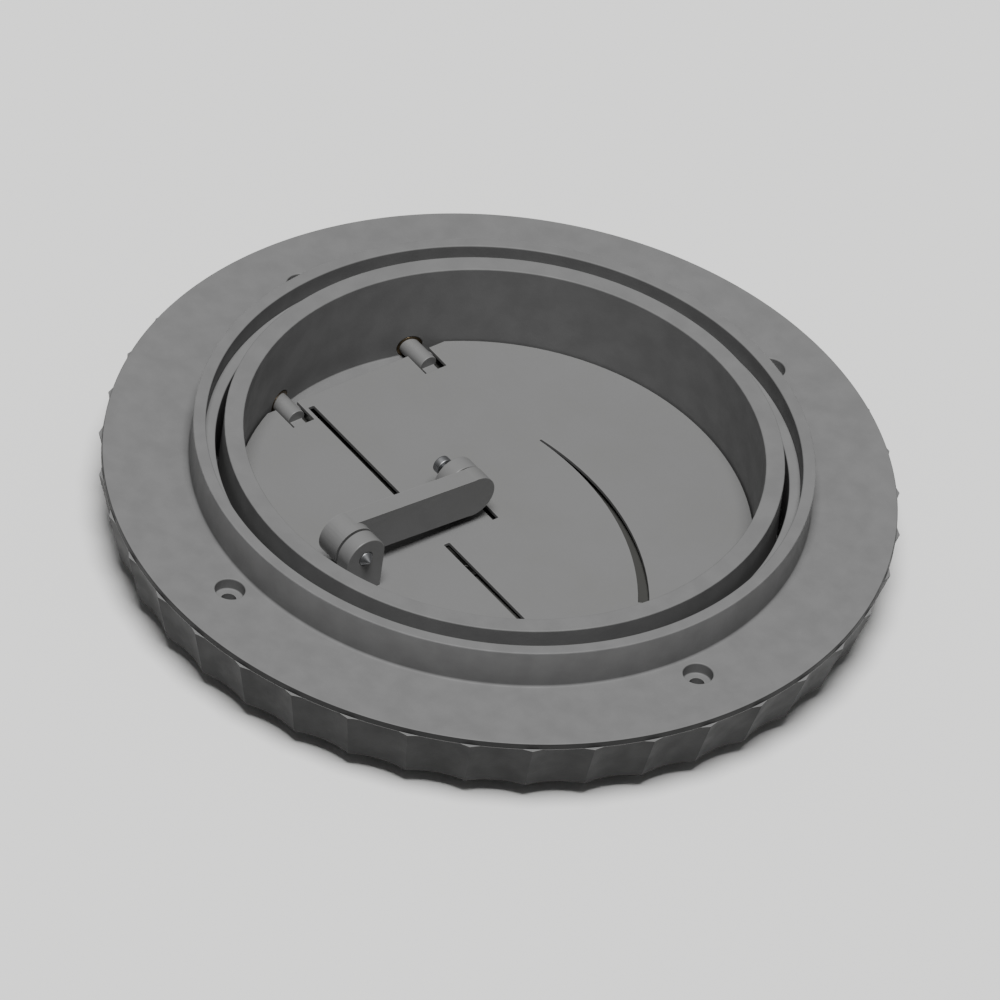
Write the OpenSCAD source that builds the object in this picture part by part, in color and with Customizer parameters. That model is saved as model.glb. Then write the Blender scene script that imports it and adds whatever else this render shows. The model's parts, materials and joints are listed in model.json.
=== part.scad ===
// Round access cover for a manhole: a bolted ring frame with a fluted skirt, and a
// lift-out pan with a sloping deck plate, a hinged lifting arm and two lock bolts.
// The origin is the centre of the flange's top face. +Z is up, the lock bolts
// point to -X, and the lifting arm lies along Y.

/* [Flange and skirt] */
// Width of the flange outside the neck
flange_w = 99.5; // [80:0.5:220]
// Thickness of the flange plate
flange_t = 16; // [10:1:24]
// Height of the plain rim above the flutes
rim_h = 7.5; // [4:0.5:14]
// Depth of the skirt below the flange's top face
skirt_h = 78; // [50:1:96]
// How far the skirt is drawn in between the rim and its foot
skirt_in = 21.5; // [0:0.5:30]
// Wall of the skirt behind the plain rim
skirt_wall = 12; // [8:1:20]
// Number of flutes round the skirt
flutes = 40; // [24:4:60]
// Depth of each flute
flute_depth = 7; // [2:0.5:9]
// How far the flutes' edges stand out past the rim
flute_proud = 4.5; // [0:0.5:8]
// Stiffening ribs under the flange
rib_count = 8; // [4:4:16]
// Thickness of each rib
rib_t = 12; // [6:1:20]

/* [Fixing holes] */
// Distance from the neck to the fixing holes' centres
hole_out = 27; // [24:0.5:40]
// Diameter of the fixing holes
hole_d = 18; // [12:1:24]
// Depth of the boss under each fixing hole
boss_h = 18; // [8:1:24]
// Diameter of the recess for the bolt head
recess_d = 35; // [28:1:38]
// Depth of the recess for the bolt head
recess_h = 15; // [8:1:20]

/* [Neck] */
// Height of the neck above the flange
neck_h = 50.5; // [30:0.5:80]
// Wall of the neck
neck_wall = 14.5; // [10:0.5:20]
// Depth of the spigot below the flange's top face
spigot_h = 100; // [80:1:160]
// How much smaller the spigot's foot is turned, below the skirt
register_step = 2; // [1:0.5:5]
// Width of the seat that carries the pan
seat_w = 55; // [40:1:60]
// Thickness of the seat
seat_t = 14; // [8:1:20]

/* [Liner and seal] */
// Wall of the centring liner
liner_wall = 13.5; // [10:0.5:18]
// Height of the liner's top above the flange
liner_h = 25; // [10:1:45]
// Thickness of the seat seal
seal_t = 3; // [2:0.5:6]

/* [Pan] */
// Clear diameter inside the pan
pan_bore = 600; // [500:2:800]
// Wall of the pan
pan_wall = 22; // [16:1:24]
// Gap between the pan and the liner
pan_gap = 7.5; // [2:0.5:8]
// How far the pan's rim stands above the neck
pan_rise = 2.5; // [0:0.5:6]
// Thickness of the pan's floor
floor_t = 12; // [8:1:12]

/* [Deck plate] */
// Thickness of the deck plate
deck_t = 5; // [4:0.5:5]
// Height of the deck's top face at the centre, above the pan's floor
deck_h = 11.9; // [11.9:0.1:16]
// Fall of the deck towards +X, in degrees
deck_fall = 1.1; // [0:0.1:1.1]
// Gap between the deck's edge and the pan
deck_gap = 2; // [1:0.5:4]
// Gap between the deck's straight edge and the pan, at its widest
deck_lip = 30; // [20:1:40]
// Width of the straight drain slots
slot_w = 8; // [4:1:10]
// Radius of the curved slot about the arm's pivot
slot_r = 340.5; // [300:0.5:345]
// Distance of the long straight slots from the centre
slot_off = 75; // [60:1:90]

/* [Lifting arm] */
// Distance from the pan's wall to the arm's pivot
pivot_out = 90; // [70:1:100]
// Height of the arm's pivot above the deck
pivot_h = 50.1; // [44:0.1:60]
// Distance between the arm's two centres
arm_l = 181; // [140:1:190]
// Half of the arm's height, which is also the radius of its ends
arm_r = 27; // [22:0.5:27]
// Thickness of the arm
arm_t = 22; // [16:1:22]
// Diameter of the pivot pin
pivot_d = 18; // [14:1:20]
// Thickness of each ear
ear_t = 20; // [14:1:20]
// Angle that the arm falls from its pivot, in degrees
arm_fall = 3.3; // [2:0.1:3.3]
// Diameter of the keeper pin
keeper_d = 12; // [8:1:14]

/* [Lock bolts] */
// Diameter of the lock bolts
bolt_d = 23; // [16:1:23]
// Distance between the two lock bolts
bolt_pitch = 188; // [160:1:188]
// Thickness of the lock bar
bar_t = 4; // [3:0.5:4]
// Travel of the lock bolts
lock_travel = 30; // [20:1:30]

/* [Hidden] */

$fn = 96;
// Overshoot of every cut past the face that it opens
eps = 1;
// Radial clearance of a pin that turns or slides in its hole
run_fit = 0.05;
// Radial clearance of a part that is fixed in its hole
seat_fit = 0.02;

pan_r = pan_bore / 2;
pan_or = pan_r + pan_wall;
liner_ir = pan_or + pan_gap;
neck_ir = liner_ir + liner_wall;
neck_or = neck_ir + neck_wall;
seat_ir = neck_ir - seat_w;
seat_z = -spigot_h + seat_t;
register_r = neck_or - register_step;
pan_z = seat_z + seal_t;
floor_z = pan_z + floor_t;
pan_top = neck_h + pan_rise;
liner_fit = 0.2;

flange_r = neck_or + flange_w;
hole_circle_r = neck_or + hole_out;
hole_boss_r = recess_d / 2 + 12;
skirt_r = flange_r + flute_proud;
skirt_ir = flange_r - skirt_wall;
flute_step = 360 / flutes;
// A flute is an arc through two neighbouring edges, flute_depth deep at its middle
flute_chord = skirt_r * sin(flute_step / 2);
flute_sag = skirt_r * cos(flute_step / 2) - (skirt_r - flute_depth);
flute_r = (flute_chord * flute_chord + flute_sag * flute_sag) / (2 * flute_sag);
skirt_tilt = atan(skirt_in / (skirt_h - rim_h));
rib_rise = 6;

deck_r = pan_r - deck_gap;
deck_edge = pan_r - deck_lip;
deck_z = floor_z + deck_h;
pad_r = 14;
// Places of the four deck pads
pad_circle_r = pan_r - 41;
pad_angle = 46;
pad_places = [for (sx = [-1, 1], sy = [-1, 1])
    pad_circle_r * [sx * cos(pad_angle), sy * sin(pad_angle)]];
stud_d = 10;
nut_h = 7;
washer_h = 2;
plug_d = 30;
plug_x = pan_r - 45;

// The arm's two centres, in Y and Z
pivot_y = -(pan_r - pivot_out);
pivot_z = deck_z + pivot_h;
keeper_y = pivot_y + arm_l * cos(arm_fall);
keeper_z = pivot_z - arm_l * sin(arm_fall);
// The arm's front face in X, and what is stacked on the pivot in front of it
arm_x = -4.6;
hub_w = 10.4;
side_gap = 2.2;
hinge_x = arm_x + hub_w + side_gap;
keeper_x = arm_x - arm_t - 2;
bush_wall = 3;
// The arm is this much lower than its round ends, on each side
waist = 0.5;
keeper_depth = 12;
pivot_point_h = 8;
back_gap = 0.5;
back_washer_t = 2;
clip_t = 1.5;
clip_depth = 1.5;
pivot_tail = 3;
knob_gap = keeper_depth + 2;
knob_d = 22;
knob_h = 10;
screw_d = 8;
screw_off = 14;

// The lock bolts' axis, their places in Y, and their ends at rest
bolt_z = floor_z + bolt_d / 2 + 0.5;
bolt_mid_y = -5;
bolt_ys = [bolt_mid_y - bolt_pitch / 2, bolt_mid_y + bolt_pitch / 2];
bolt_in_x = -pan_r + 50;
bolt_out_x = -pan_r;
bolt_bush_wall = 3;
notch_w = bolt_d + 7;
notch_in_x = bolt_in_x + 14;
bar_z = floor_z + 0.8;
bar_top = bar_z + bar_t;
tongue_w = 16;
tongue_in_x = bolt_in_x + 28;
cross_out_x = bolt_in_x + 5;
cross_w = 24;
stem_y = -slot_off;
stem_w = 20;
stem_in_x = 62;
key_hole_x = 48;
key_hole_d = 7;
stud_x = -58;

// Height of the deck's top face at x
function deck_top(x) = deck_z - x * tan(deck_fall);

// Everything below the deck plate's top face, lowered by drop
module below_deck(drop) {
    translate([0, 0, deck_z]) rotate([0, deck_fall, 0])
        translate([-pan_or, -pan_or, -200 - drop / cos(deck_fall)])
            cube([2 * pan_or, 2 * pan_or, 200]);
}

// A cylinder along X from x0 to x1 with its axis at y, z
module rod_x(x0, x1, y, z, r) {
    translate([x0, y, z]) rotate([0, 90, 0]) cylinder(h = x1 - x0, r = r);
}

// A ring along X from x0 to x1
module ring_x(x0, x1, y, z, r_out, r_in) {
    difference() {
        rod_x(x0, x1, y, z, r_out);
        rod_x(x0 - eps, x1 + eps, y, z, r_in);
    }
}

// A body of revolution about Z from a half section of [radius, height] points
module turned(points) {
    rotate_extrude($fn = 180) polygon(points);
}

// The recess in the liner and frame that takes a lock bolt
module bolt_pocket(y) {
    rod_x(-pan_r - lock_travel - 4, -pan_r + 10, y, bolt_z, bolt_d / 2 + 1.5);
}

module ring_frame() {
    color("dimgray") difference() {
        union() {
            turned([[seat_ir, -spigot_h], [register_r, -spigot_h], [register_r, -skirt_h],
                [neck_or, -skirt_h], [neck_or, -flange_t],
                [skirt_ir + 2, -flange_t], [skirt_ir + 2, -rim_h], [flange_r, -rim_h],
                [flange_r, 0], [neck_or, 0], [neck_or, neck_h], [neck_ir, neck_h],
                [neck_ir, seat_z], [seat_ir, seat_z]]);
            fluted_skirt();
            ribs();
            for (a = [0 : 90 : 270])
                rotate([0, 0, a]) translate([hole_circle_r, 0, -flange_t - boss_h])
                    cylinder(h = boss_h + 1, r = hole_boss_r);
        }
        for (a = [0 : 90 : 270])
            rotate([0, 0, a]) translate([hole_circle_r, 0, 0]) {
                translate([0, 0, -flange_t - boss_h - eps])
                    cylinder(h = flange_t + boss_h + 2 * eps, d = hole_d);
                translate([0, 0, -recess_h]) cylinder(h = recess_h + eps, d = recess_d);
            }
        for (y = bolt_ys) bolt_pocket(y);
    }
}

// Ribs from the neck to the skirt, which end inside the skirt's wall
module ribs() {
    intersection() {
        turned([[neck_or - 2, -skirt_h], [skirt_ir - skirt_in + 3, -skirt_h],
            [skirt_ir + 3, -rim_h - 1], [neck_or - 2, -rim_h - 1]]);
        for (i = [0 : rib_count - 1])
            rotate([0, 0, (i + 0.5) * 360 / rib_count])
                translate([neck_or - 2, -rib_t / 2, -skirt_h + rib_rise])
                    cube([skirt_ir - neck_or + 6, rib_t, skirt_h - rib_rise - flange_t + 1]);
    }
}

// The skirt under the plain rim, drawn in towards its foot, with arcs scooped out
module fluted_skirt() {
    difference() {
        turned([[skirt_ir - skirt_in, -skirt_h], [skirt_r - skirt_in + 2, -skirt_h],
            [skirt_r + 2, -rim_h], [skirt_ir, -rim_h]]);
        for (i = [0 : flutes - 1])
            rotate([0, 0, i * flute_step])
                translate([skirt_r - flute_depth, 0, -rim_h]) rotate([0, skirt_tilt, 0])
                    translate([flute_r, 0, -2 * skirt_h]) cylinder(h = 3 * skirt_h, r = flute_r);
    }
}

module centring_liner() {
    color("gray") difference() {
        turned([[liner_ir, seat_z], [neck_ir - liner_fit, seat_z],
            [neck_ir - liner_fit, liner_h], [liner_ir, liner_h]]);
        for (y = bolt_ys) bolt_pocket(y);
    }
}

module seat_seal() {
    color("darkslategray")
        turned([[seat_ir + 4, seat_z], [liner_ir - 3, seat_z], [liner_ir - 3, pan_z],
            [seat_ir + 4, pan_z]]);
}

module pan() {
    color("dimgray") difference() {
        union() {
            turned([[0, pan_z], [pan_or, pan_z], [pan_or, pan_top], [pan_r, pan_top],
                [pan_r, floor_z], [0, floor_z]]);
            intersection() {
                for (p = pad_places)
                    translate([p[0], p[1], floor_z - eps]) cylinder(h = 60, r = pad_r);
                below_deck(deck_t);
            }
        }
        for (p = pad_places)
            translate([p[0], p[1], pan_z - eps]) cylinder(h = 80, d = stud_d + 1);
        translate([plug_x, 0, pan_z - eps])
            cylinder(h = floor_t + 2 * eps, d = plug_d + 2 * seat_fit);
        for (y = bolt_ys)
            rod_x(-pan_or - 10, -pan_r + 70, y, bolt_z, bolt_d / 2 + bolt_bush_wall + seat_fit);
    }
}

module drain_plug() {
    color("gray") translate([plug_x, 0, 0]) {
        translate([0, 0, pan_z - 1]) cylinder(h = floor_t, d = plug_d);
        translate([0, 0, pan_z - 7]) cylinder(h = 7, d = plug_d + 10, $fn = 6);
    }
}

// A straight slot from x0 to x1 with its middle at y
module straight_slot(x0, x1, y) {
    translate([x0, y - slot_w / 2, deck_z - 30]) cube([x1 - x0, slot_w, 60]);
}

// A slot that follows a circle round the arm's pivot and widens towards +X
module curved_slot() {
    widen = 16.3;
    translate([-10, pivot_y, deck_z - 30]) linear_extrude(60) intersection() {
        difference() {
            translate([widen * cos(30), widen * sin(30)]) circle(r = slot_r - 2, $fn = 180);
            circle(r = slot_r, $fn = 180);
        }
        polygon([[0, 0], for (a = [52.6, 77, 102]) 1.3 * slot_r * [cos(a), sin(a)]]);
    }
}

module deck_plate() {
    color("gray") difference() {
        intersection() {
            below_deck(0);
            translate([0, 0, deck_z - 30]) cylinder(h = 60, r = deck_r, $fn = 180);
            translate([-deck_edge, -pan_r, deck_z - 30])
                cube([deck_edge + pan_r, 2 * pan_r, 60]);
        }
        below_deck(deck_t);
        straight_slot(-pan_r + 45, -40, stem_y);
        straight_slot(9, 156, stem_y);
        straight_slot(-34, 2, 0);
        curved_slot();
        for (y = bolt_ys)
            translate([-pan_r, y - notch_w / 2, deck_z - 30])
                cube([pan_r + notch_in_x, notch_w, 60]);
        for (s = ear_screw_places)
            translate([s[0], s[1], deck_z - 30]) cylinder(h = 60, d = screw_d + 0.4);
    }
}

module deck_studs() {
    color("silver") for (p = pad_places)
        translate([p[0], p[1], pan_z - washer_h - nut_h - 2])
            cylinder(h = deck_top(p[0]) - deck_t - 1 - pan_z + washer_h + nut_h + 2, d = stud_d);
}

module deck_nuts() {
    color("silver") for (p = pad_places)
        translate([p[0], p[1], pan_z - washer_h - nut_h]) difference() {
            cylinder(h = nut_h, r = stud_d * 0.95, $fn = 6);
            translate([0, 0, -eps]) cylinder(h = nut_h + 2 * eps, d = stud_d + 2 * seat_fit);
        }
}

module deck_washers() {
    color("silver") for (p = pad_places)
        translate([p[0], p[1], pan_z - washer_h]) difference() {
            cylinder(h = washer_h, r = stud_d);
            translate([0, 0, -eps]) cylinder(h = washer_h + 2 * eps, d = stud_d + 0.6);
        }
}

// An ear: a round head on two upright sides, standing on the deck
module ear(x0, y, z, r) {
    difference() {
        union() {
            rod_x(x0, x0 + ear_t, y, z, r);
            translate([x0, y - r, z - 100]) cube([ear_t, 2 * r, 100]);
        }
        below_deck(0);
    }
}

// Screws that hold the two ears from under the deck
ear_screw_places = [for (e = [[hinge_x, pivot_y], [keeper_x - ear_t, keeper_y]], s = [-1, 1])
    [e[0] + ear_t / 2, e[1] + s * screw_off]];

module hinge_ear() {
    color("gray") difference() {
        ear(hinge_x, pivot_y, pivot_z, arm_r - 0.5);
        rod_x(hinge_x - eps, hinge_x + ear_t + eps, pivot_y, pivot_z, pivot_d / 2 + seat_fit);
        ear_screw_holes();
    }
}

module keeper_ear() {
    color("gray") difference() {
        ear(keeper_x - ear_t, keeper_y, keeper_z, arm_r - 0.5);
        rod_x(keeper_x - ear_t - eps, keeper_x + eps, keeper_y, keeper_z,
            keeper_d / 2 + run_fit);
        ear_screw_holes();
    }
}

module ear_screw_holes() {
    for (s = ear_screw_places)
        translate([s[0], s[1], deck_z - 30]) cylinder(h = 42, d = screw_d + 2 * seat_fit);
}

module ear_screws() {
    color("silver") for (s = ear_screw_places)
        translate([s[0], s[1], deck_top(s[0]) - deck_t]) {
            translate([0, 0, 0.5]) cylinder(h = deck_t + 8, d = screw_d);
        }
}

module pivot_pin() {
    tail_x = arm_x - arm_t - back_gap - back_washer_t - clip_t - pivot_tail;
    color("silver") difference() {
        union() {
            rod_x(tail_x, hinge_x + ear_t, pivot_y, pivot_z, pivot_d / 2);
            translate([hinge_x + ear_t, pivot_y, pivot_z]) rotate([0, 90, 0])
                cylinder(h = pivot_point_h, r1 = pivot_d / 2, r2 = 1);
        }
        ring_x(tail_x + pivot_tail, tail_x + pivot_tail + clip_t, pivot_y, pivot_z,
            pivot_d, pivot_d / 2 - clip_depth);
    }
}

module thrust_washer() {
    color("darkgoldenrod")
        ring_x(arm_x + hub_w + 0.3, hinge_x, pivot_y, pivot_z, pivot_d / 2 + 6,
            pivot_d / 2 + 0.3);
}

module back_washer() {
    tail_x = arm_x - arm_t - back_gap;
    color("silver")
        ring_x(tail_x - back_washer_t, tail_x, pivot_y, pivot_z, pivot_d / 2 + 7,
            pivot_d / 2 + seat_fit);
}

module pivot_clip() {
    clip_x = arm_x - arm_t - back_gap - back_washer_t - clip_t;
    color("dimgray") difference() {
        ring_x(clip_x, clip_x + clip_t, pivot_y, pivot_z, pivot_d / 2 + 3,
            pivot_d / 2 - clip_depth);
        translate([clip_x - eps, pivot_y - pivot_d / 3, pivot_z - pivot_d])
            cube([clip_t + 2 * eps, 2 * pivot_d / 3, pivot_d]);
    }
}

module arm_buffer() {
    buffer_x = arm_x - arm_t + 4;
    color("darkslategray") difference() {
        translate([buffer_x, keeper_y, deck_z - 10])
            cylinder(h = keeper_z - arm_r - 0.3 - deck_z + 10, r = 4);
        below_deck(0);
    }
}

module bolt_bush(y) {
    color("darkgoldenrod") intersection() {
        ring_x(-pan_or, -pan_r + 40, y, bolt_z, bolt_d / 2 + bolt_bush_wall,
            bolt_d / 2 + run_fit);
        turned([[pan_r, bolt_z - 30], [pan_or, bolt_z - 30], [pan_or, bolt_z + 30],
            [pan_r, bolt_z + 30]]);
    }
}

module bolt_bush_left() { bolt_bush(bolt_ys[0]); }

module bolt_bush_right() { bolt_bush(bolt_ys[1]); }

module lift_arm() {
    color("gray") difference() {
        union() {
            rod_x(arm_x - arm_t, arm_x + hub_w, pivot_y, pivot_z, arm_r);
            rod_x(arm_x - arm_t, arm_x, keeper_y, keeper_z, arm_r);
            translate([arm_x - arm_t, pivot_y, pivot_z]) rotate([-arm_fall, 0, 0])
                translate([0, 0, -arm_r + waist]) cube([arm_t, arm_l, 2 * (arm_r - waist)]);
        }
        rod_x(arm_x - arm_t - eps, arm_x + hub_w + eps, pivot_y, pivot_z,
            pivot_d / 2 + bush_wall + seat_fit);
        rod_x(arm_x - arm_t - eps, arm_x - arm_t + keeper_depth, keeper_y, keeper_z,
            keeper_d / 2 + 0.5);
    }
}

module arm_bush() {
    color("darkgoldenrod")
        ring_x(arm_x - arm_t, arm_x + hub_w, pivot_y, pivot_z, pivot_d / 2 + bush_wall,
            pivot_d / 2 + run_fit);
}

module keeper_pin() {
    color("silver")
        rod_x(keeper_x - ear_t - knob_gap - knob_h + 1, keeper_x - 0.5, keeper_y, keeper_z,
            keeper_d / 2);
}

module keeper_knob() {
    x1 = keeper_x - ear_t - knob_gap;
    color("dimgray")
        ring_x(x1 - knob_h, x1, keeper_y, keeper_z, knob_d / 2, keeper_d / 2 + seat_fit);
}

module lock_bar() {
    color("silver") difference() {
        union() {
            translate([cross_out_x, bolt_ys[0] - 12, bar_z])
                cube([cross_w, bolt_ys[1] - bolt_ys[0] + 24, bar_t]);
            translate([cross_out_x, stem_y - stem_w / 2, bar_z])
                cube([stem_in_x - cross_out_x, stem_w, bar_t]);
        }
        translate([key_hole_x, stem_y, bar_z - eps])
            cylinder(h = bar_t + 2 * eps, d = key_hole_d);
        translate([stud_x, stem_y, bar_z - eps])
            cylinder(h = bar_t + 2 * eps, d = slot_w - 1 + 2 * seat_fit);
        for (y = bolt_ys)
            translate([tongue_in_x - 10, y, bar_z - eps])
                cylinder(h = bar_t + 2 * eps, d = 6 + 2 * seat_fit);
    }
}

module lock_bolt(y) {
    color("silver") difference() {
        union() {
            rod_x(bolt_out_x, bolt_in_x, y, bolt_z, bolt_d / 2);
            translate([bolt_in_x - 10, y - tongue_w / 2, bar_top])
                cube([tongue_in_x - bolt_in_x + 10, tongue_w, 5]);
        }
        translate([cross_out_x - eps, y - bolt_d, bar_top - 20])
            cube([cross_w + 10, 2 * bolt_d, 20]);
        translate([tongue_in_x - 10, y, bar_top - eps])
            cylinder(h = 4 + eps, d = 6 + 2 * seat_fit);
    }
}

module lock_bolt_left() { lock_bolt(bolt_ys[0]); }

module lock_bolt_right() { lock_bolt(bolt_ys[1]); }

module bolt_screws() {
    color("silver") for (y = bolt_ys)
        translate([tongue_in_x - 10, y, bar_z]) cylinder(h = bar_t + 4, d = 6);
}

module guide_stud() {
    color("silver") translate([stud_x, stem_y, bar_z])
        cylinder(h = deck_top(stud_x) - bar_z - 0.5, d = slot_w - 1);
}

ring_frame();
centring_liner();
seat_seal();
pan();
drain_plug();
deck_plate();
deck_studs();
deck_nuts();
deck_washers();
hinge_ear();
keeper_ear();
ear_screws();
pivot_pin();
thrust_washer();
back_washer();
pivot_clip();
arm_buffer();
bolt_bush_left();
bolt_bush_right();
lift_arm();
arm_bush();
keeper_pin();
keeper_knob();
lock_bar();
lock_bolt_left();
lock_bolt_right();
bolt_screws();
guide_stud();
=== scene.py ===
"""Looks of a round manhole cover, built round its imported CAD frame."""

import json
import math

import bmesh
import bpy
import numpy as np
from mathutils import Matrix, Vector


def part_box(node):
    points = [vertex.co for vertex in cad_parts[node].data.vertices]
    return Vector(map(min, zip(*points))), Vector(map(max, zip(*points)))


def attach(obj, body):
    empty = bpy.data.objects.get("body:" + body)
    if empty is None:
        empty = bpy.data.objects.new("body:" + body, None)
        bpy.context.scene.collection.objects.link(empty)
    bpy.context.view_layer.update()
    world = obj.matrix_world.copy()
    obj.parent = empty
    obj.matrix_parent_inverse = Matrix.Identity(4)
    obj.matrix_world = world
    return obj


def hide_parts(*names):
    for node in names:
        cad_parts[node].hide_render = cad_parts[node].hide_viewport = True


bl_info = {
    "name": "Manhole cover",
    "version": (1, 0, 0),
    "blender": (4, 5, 0),
    "location": "3D View > Sidebar > Manhole cover",
    "description": "Builds the visible pieces of a bolted ring frame with a lift-out pan",
    "category": "Object",
}

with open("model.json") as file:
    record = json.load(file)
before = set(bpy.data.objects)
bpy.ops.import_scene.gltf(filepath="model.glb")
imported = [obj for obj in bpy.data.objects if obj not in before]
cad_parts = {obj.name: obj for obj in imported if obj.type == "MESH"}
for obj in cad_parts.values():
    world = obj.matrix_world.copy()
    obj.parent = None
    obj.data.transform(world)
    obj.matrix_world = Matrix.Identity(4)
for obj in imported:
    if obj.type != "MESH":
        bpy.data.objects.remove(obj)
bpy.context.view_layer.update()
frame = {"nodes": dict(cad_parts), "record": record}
MOUNTS = {mount["name"]: mount["dims"] for mount in frame["record"]["mounts"]}
MM = 0.001
TURN = 2 * math.pi

# How far a shape reaches into the one it joins, or past the one it cuts
OVERLAP = 1 * MM
# Rounding of a corner that is turned in a lathe
LATHE_CORNER = 0.3 * MM
# Rounding of a rib's corners inside the flange, where it can't be seen
HIDDEN_CORNER = 0.2 * MM
# Copies of CAD shapes: points this near are merged, and faces this level are joined
MERGE_DISTANCE = 0.02 * MM
LEVEL_ANGLE = math.radians(1)
# Edges sharper than these are rounded, or shaded sharp
ROUNDED_ANGLE = math.radians(35)
SHARP_ANGLE = math.radians(32)
# Points round a ring, a boss or hole, and a lock pocket; points along each flute
RING_COLUMNS = 320
HOLE_COLUMNS = 64
POCKET_COLUMNS = 48
FLUTE_COLUMNS = 16


def box(node):
    """The lowest and highest corner of a CAD node, as two arrays."""
    return [np.array(corner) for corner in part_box(node)]


# ---------------------------------------------------------------- sizes and colours


def linear(hex_colour):
    """The scene-linear red, green and blue of an sRGB hex colour."""
    values = np.array([int(hex_colour[i : i + 2], 16) for i in (1, 3, 5)]) / 255
    low = values / 12.92
    high = ((values + 0.055) / 1.055) ** 2.4
    return tuple(np.where(values <= 0.04045, low, high))


def length_property(name, description, default):
    """A length in metres that the user may change."""
    return bpy.props.FloatProperty(
        name=name, description=description, default=default, min=0, unit="LENGTH", precision=4
    )


def colour_property(name, description, hex_colour):
    """A colour that the user may change, given in sRGB hex."""
    return bpy.props.FloatVectorProperty(
        name=name,
        description=description,
        default=linear(hex_colour),
        subtype="COLOR",
        size=3,
        min=0,
        max=1,
    )


class ManholeSizes(bpy.types.PropertyGroup):
    """Sizes of the castings and of the edges' rounding."""

    flange_width: length_property("Flange width", "Flange outside the neck", 99.5 * MM)
    flange_thickness: length_property("Flange thickness", "Flange plate", 16 * MM)
    rim_height: length_property("Rim height", "Plain rim above the flutes", 7.5 * MM)
    skirt_depth: length_property("Skirt depth", "Skirt below the flange's top face", 78 * MM)
    skirt_taper: length_property("Skirt taper", "How far the skirt leans in", 21.5 * MM)
    skirt_wall: length_property("Skirt wall", "Skirt behind the plain rim", 12 * MM)
    flutes: bpy.props.IntProperty(
        name="Flutes", description="Scallops round the skirt", default=40, min=12
    )
    flute_depth: length_property("Flute depth", "From an edge to a flute's bottom", 7 * MM)
    flute_proud: length_property("Flute edge", "How far the edges pass the rim", 4.5 * MM)
    neck_wall: length_property("Neck wall", "Wall of the neck and spigot", 14.5 * MM)
    seat_width: length_property("Seat width", "Seat that carries the pan", 55 * MM)
    ribs: bpy.props.IntProperty(
        name="Ribs", description="Stiffening ribs under the flange", default=8, min=4
    )
    rib_thickness: length_property("Rib thickness", "Each rib", 12 * MM)
    boss_depth: length_property("Boss depth", "Boss under each fixing hole", 18 * MM)
    boss_wall: length_property("Boss wall", "Boss round the recess", 12 * MM)
    recess_diameter: length_property("Recess diameter", "Recess for a bolt head", 35 * MM)
    recess_depth: length_property("Recess depth", "Recess for a bolt head", 15 * MM)
    pocket_reach: length_property("Pocket reach", "Lock pocket's end from the axis", 334 * MM)
    pocket_mouth: length_property("Pocket mouth", "Lock pocket's start from the axis", 303 * MM)
    pan_gap: length_property("Pan gap", "Gap between the pan and the liner", 7.5 * MM)
    cast_edge: length_property("Casting edge", "Rounding of a casting's edges", 1.6 * MM)
    cast_fillet: length_property("Casting fillet", "Rounding of inside corners", 3 * MM)
    plate_edge: length_property("Plate edge", "Rounding of a cut plate's edges", 0.7 * MM)
    forged_edge: length_property("Forged edge", "Rounding of forged edges", 1.4 * MM)
    arm_edge: length_property("Arm edge", "Rounding of the lifting arm's edges", 0.4 * MM)
    turned_edge: length_property("Turned edge", "Rounding of turned parts", 0.8 * MM)
    small_edge: length_property("Small edge", "Rounding of screws, nuts and bushes", 0.4 * MM)
    washer_edge: length_property("Washer edge", "Rounding of the pivot's washers", 0.3 * MM)
    clip_edge: length_property("Clip edge", "Rounding of the pivot's clip", 0.2 * MM)
    pivot_edge: length_property("Pivot edge", "Rounding of the pivot pin", 0.5 * MM)
    knob_edge: length_property("Knob edge", "Rounding of the keeper's knob", 1.5 * MM)
    seal_edge: length_property("Seal edge", "Rounding of the seal", 0.6 * MM)
    seal_inset: length_property("Seal inset", "Seat left bare inside the seal", 4 * MM)
    seat_corner: length_property("Seat corner", "Rounding where seat meets neck", 0.5 * MM)
    rib_rise: length_property("Rib rise", "How far a rib stops above the skirt's foot", 6 * MM)
    rib_edge: length_property("Rib edge", "Rounding of ribs and bosses", 2 * MM)
    pocket_gap: length_property("Pocket gap", "Room round a lock bolt in its pocket", 1.5 * MM)


class ManholeColours(bpy.types.PropertyGroup):
    """Colours of the finishes."""

    iron: colour_property("Dipped iron", "Grey dip coat on cast iron", "#6e6e6e")
    iron_dark: colour_property("Iron in the pores", "Coat where it lies thick", "#686868")
    iron_worn: colour_property("Worn iron", "Coat rubbed thin on edges", "#7c7c7b")
    # Painted shade: the "dip" colour darkens the rim's and skirt's upright faces, which turn away
    # from the high light
    dip: colour_property("Fresh dip", "Black dip on the skirt", "#262626")
    # Painted shade: this colour darkens what lies below the deck plate, where the plate shades it
    deck_shade: colour_property("Mud", "Mud under the deck plate", "#3b3b39")
    paint: colour_property("Painted steel", "Grey paint on rolled and forged steel", "#6f6f6f")
    paint_dark: colour_property("Dusty paint", "Paint under road dust", "#6b6b6a")
    paint_worn: colour_property("Worn paint", "Paint rubbed on edges", "#7e7e7d")
    zinc: colour_property("Zinc", "Zinc plate on turned steel", "#a2a3a5")
    zinc_dull: colour_property("Dull zinc", "Zinc that has weathered", "#7f8082")
    bronze: colour_property("Bronze", "Machined bearing bronze", "#756650")
    liner: colour_property("Liner", "Moulded grey polyethylene", "#6c6c6c")
    rubber: colour_property("Rubber", "Moulded black rubber", "#1c1c1e")
    floor: colour_property("Floor", "Pale studio floor", "#f0f0ef")


# ---------------------------------------------------------------- node materials


def add_node(tree, kind, inputs=None, **settings):
    """Adds one shader node with its settings, and sets or links its inputs."""
    node = tree.nodes.new(kind)
    for key, value in settings.items():
        setattr(node, key, value)
    for key, value in (inputs or {}).items():
        if isinstance(value, bpy.types.NodeSocket):
            tree.links.new(value, node.inputs[key])
        else:
            node.inputs[key].default_value = value
    return node


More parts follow.
